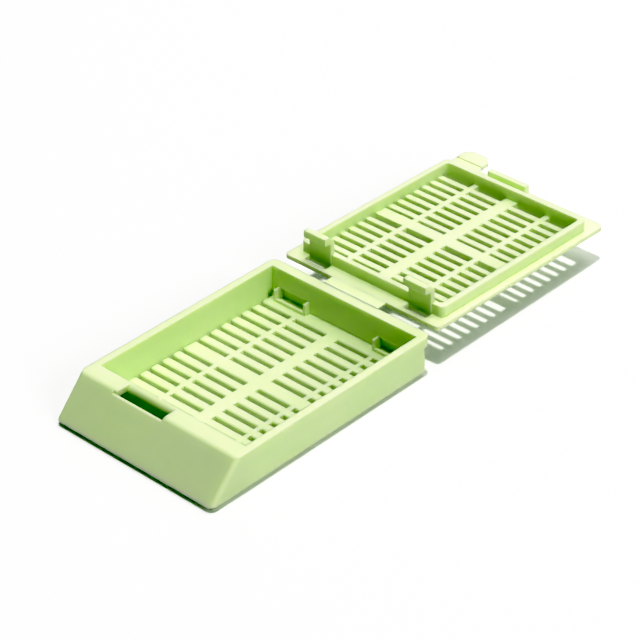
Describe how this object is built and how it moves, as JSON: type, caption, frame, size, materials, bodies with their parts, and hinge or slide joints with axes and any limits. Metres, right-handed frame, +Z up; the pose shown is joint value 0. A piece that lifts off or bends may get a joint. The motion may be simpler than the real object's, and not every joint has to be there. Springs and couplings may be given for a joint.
{
  "type": "tissue cassette",
  "caption": "Histology tissue cassette: shallow slotted tray with a slanted writing face, slotted snap-in lid on a thin bending strap, hooks and a locking tongue.",
  "frame": {"origin": "centre of the tray's underside, on the foot plane", "axes": "+X across the tray, towards its right side when the slanted writing face is nearest; +Y from the writing face towards the hinge and the open lid; +Z up, out of the tray's open top"},
  "size_m": [0.0286, 0.081, 0.0104],
  "materials": {
    "acetal": "satin moulded acetal, pale lime green, slightly translucent"
  },
  "bodies": {
    "base": {"base": "acetal", "hinge_web": "acetal"},
    "lid": {"lid": "acetal"}
  },
  "joints": [
    {"name": "lid_hinge", "type": "hinge", "parent": "base", "child": "lid", "pos_m": [0, 0.02105, 0.0059], "axis": [1, 0, 0], "range_deg": [0, 180.92], "deforming": ["hinge_web"]}
  ]
}
